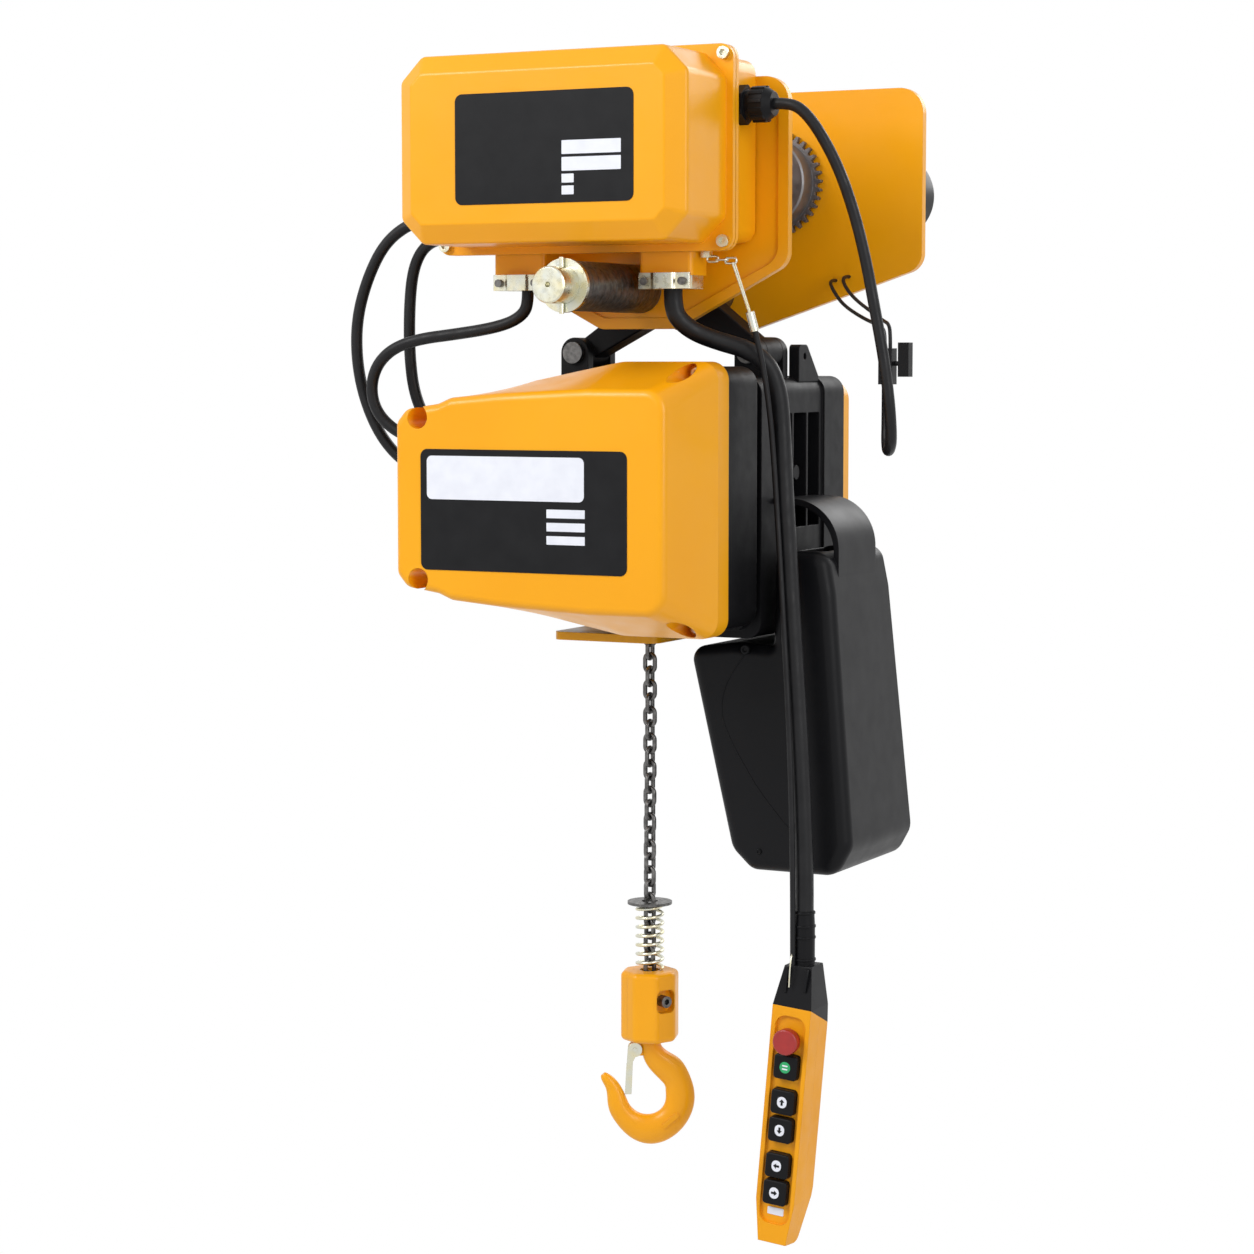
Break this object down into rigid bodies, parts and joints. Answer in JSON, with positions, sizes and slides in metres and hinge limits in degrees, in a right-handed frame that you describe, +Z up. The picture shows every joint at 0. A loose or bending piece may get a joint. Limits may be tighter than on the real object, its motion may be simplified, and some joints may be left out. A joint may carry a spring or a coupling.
{
  "type": "electric chain hoist",
  "caption": "Electric chain hoist with a motor-driven beam trolley, load chain with swivel hook, chain bag and a push-button pendant on its cable.",
  "frame": {"origin": "on the beam's centre plane, at the top face of its lower flange, midway between the wheels", "axes": "+X along the beam to the right of the trolley box's face, +Y away from that face across the beam, +Z up"},
  "size_m": [0.6481, 0.604, 1.2789],
  "materials": {
    "yellow_paint": "gloss",
    "yellow_plastic": "satin",
    "zinc": "satin",
    "dark_steel": "satin",
    "black_paint": "satin",
    "yellow_casting": "satin",
    "black_casting": "satin",
    "black_plastic": "satin",
    "cable_jacket": "matt",
    "cast_iron": "matt",
    "aluminium": "satin",
    "gasket_rubber": "matt",
    "red_plastic": "gloss"
  },
  "bodies": {
    "trolley": {"box_gasket": "gasket_rubber", "box_glands": "black_plastic", "box_screws": "zinc", "cable_saddles": "zinc", "connector_leads": "cable_jacket", "front_side_plate": "yellow_paint", "link_cable_front": "cable_jacket", "link_cable_long": "cable_jacket", "link_cable_short": "cable_jacket", "pendant_back": "yellow_plastic", "pendant_boot": "black_plastic", "pendant_cable": "cable_jacket", "pendant_front": "yellow_plastic", "rear_side_plate": "yellow_paint", "saddle_screws": "dark_steel", "shaft_collar": "zinc", "shaft_fasteners": "zinc", "shaft_spacers": "dark_steel", "strain_anchor": "zinc", "strain_wire": "cable_jacket", "supply_cable": "cable_jacket", "supply_connector": "black_plastic", "supply_gland": "black_plastic", "suspension_shaft": "zinc", "travel_gearbox": "yellow_casting", "travel_motor": "aluminium", "travel_motor_cowl": "black_plastic", "trolley_case": "yellow_paint", "trolley_cover": "yellow_paint", "wheel_axles": "dark_steel"},
    "idle_wheel_left": {"idle_wheel_left": "cast_iron"},
    "idle_wheel_right": {"idle_wheel_right": "cast_iron"},
    "drive_wheel_left": {"drive_wheel_left": "cast_iron"},
    "drive_wheel_right": {"drive_wheel_right": "cast_iron"},
    "travel_pinion": {"travel_pinion": "dark_steel"},
    "hoist": {"front_cover": "yellow_casting", "rear_cover": "yellow_casting", "cover_screws": "zinc", "gear_case": "black_casting", "body_glands": "black_plastic", "yoke": "black_paint", "yoke_pins": "dark_steel", "chain_guide": "yellow_paint", "chain_bag": "black_plastic"},
    "load_sprocket": {"load_sprocket": "dark_steel"},
    "hook_block": {"block_half_left": "yellow_paint", "block_half_right": "yellow_paint", "block_bolts": "dark_steel", "load_chain": "dark_steel", "limit_spring": "dark_steel"},
    "limit_washer": {"limit_washer": "dark_steel"},
    "hook": {"hook": "yellow_paint", "latch_pin": "zinc"},
    "hook_latch": {"hook_latch": "zinc"},
    "button_start": {"button_start": "black_plastic"},
    "button_up": {"button_up": "black_plastic"},
    "button_down": {"button_down": "black_plastic"},
    "button_left": {"button_left": "black_plastic"},
    "button_right": {"button_right": "black_plastic"},
    "stop_button": {"stop_button": "red_plastic"}
  },
  "joints": [
    {"name": "idle_wheel_left_spin", "type": "hinge", "parent": "trolley", "child": "idle_wheel_left", "pos_m": [-0.075, 0, 0.05], "axis": [0, 1, 0], "continuous": true},
    {"name": "idle_wheel_right_spin", "type": "hinge", "parent": "trolley", "child": "idle_wheel_right", "pos_m": [0.075, 0, 0.05], "axis": [0, 1, 0], "continuous": true},
    {"name": "drive_wheel_left_spin", "type": "hinge", "parent": "trolley", "child": "drive_wheel_left", "pos_m": [-0.075, 0, 0.05], "axis": [0, 1, 0], "continuous": true},
    {"name": "drive_wheel_right_spin", "type": "hinge", "parent": "trolley", "child": "drive_wheel_right", "pos_m": [0.075, 0, 0.05], "axis": [0, 1, 0], "continuous": true},
    {"name": "travel_pinion_spin", "type": "hinge", "parent": "trolley", "child": "travel_pinion", "pos_m": [0, 0, 0.08059], "axis": [0, 1, 0], "continuous": true},
    {"name": "hoist_swing", "type": "hinge", "parent": "trolley", "child": "hoist", "pos_m": [0, 0, -0.07], "axis": [0, 1, 0], "range_deg": [-4, 4], "deforming": ["link_cable_front", "link_cable_long", "link_cable_short"]},
    {"name": "lift", "type": "slide", "parent": "hoist", "child": "hook_block", "axis": [0, 0, 1], "range_m": [0, 0.25], "deforming": ["load_chain"]},
    {"name": "load_sprocket_spin", "type": "hinge", "parent": "hoist", "child": "load_sprocket", "pos_m": [0.0271, -0.036, -0.3], "axis": [0, 1, 0], "continuous": true},
    {"name": "limit_washer_slide", "type": "slide", "parent": "hook_block", "child": "limit_washer", "axis": [0, 0, 1], "range_m": [-0.03, 0], "stiffness_N_per_m": 800, "deforming": ["limit_spring"]},
    {"name": "hook_swivel", "type": "hinge", "parent": "hook_block", "child": "hook", "pos_m": [-0.018, -0.036, -0.907], "axis": [0, 0, 1], "continuous": true},
    {"name": "latch_swing", "type": "hinge", "parent": "hook", "child": "hook_latch", "pos_m": [-0.03279, -0.04354, -0.9184], "axis": [-0.454, 0.891, 0], "range_deg": [-35, 0], "stiffness_Nm_per_rad": 0.05},
    {"name": "button_start_press", "type": "slide", "parent": "trolley", "child": "button_start", "axis": [0, 1, 0], "range_m": [0, 0.004], "stiffness_N_per_m": 400},
    {"name": "button_up_press", "type": "slide", "parent": "trolley", "child": "button_up", "axis": [0, 1, 0], "range_m": [0, 0.004], "stiffness_N_per_m": 400},
    {"name": "button_down_press", "type": "slide", "parent": "trolley", "child": "button_down", "axis": [0, 1, 0], "range_m": [0, 0.004], "stiffness_N_per_m": 400},
    {"name": "button_left_press", "type": "slide", "parent": "trolley", "child": "button_left", "axis": [0, 1, 0], "range_m": [0, 0.004], "stiffness_N_per_m": 400},
    {"name": "button_right_press", "type": "slide", "parent": "trolley", "child": "button_right", "axis": [0, 1, 0], "range_m": [0, 0.004], "stiffness_N_per_m": 400},
    {"name": "stop_button_press", "type": "slide", "parent": "trolley", "child": "stop_button", "axis": [0, 1, 0], "range_m": [0, 0.003], "stiffness_N_per_m": 400}
  ],
  "couplings": [
    {"joint": "drive_wheel_right_spin", "follows": "drive_wheel_left_spin", "ratio": 1},
    {"joint": "travel_pinion_spin", "follows": "drive_wheel_left_spin", "ratio": -2.375},
    {"joint": "load_sprocket_spin", "follows": "lift", "rad_per_m": -22.173}
  ]
}
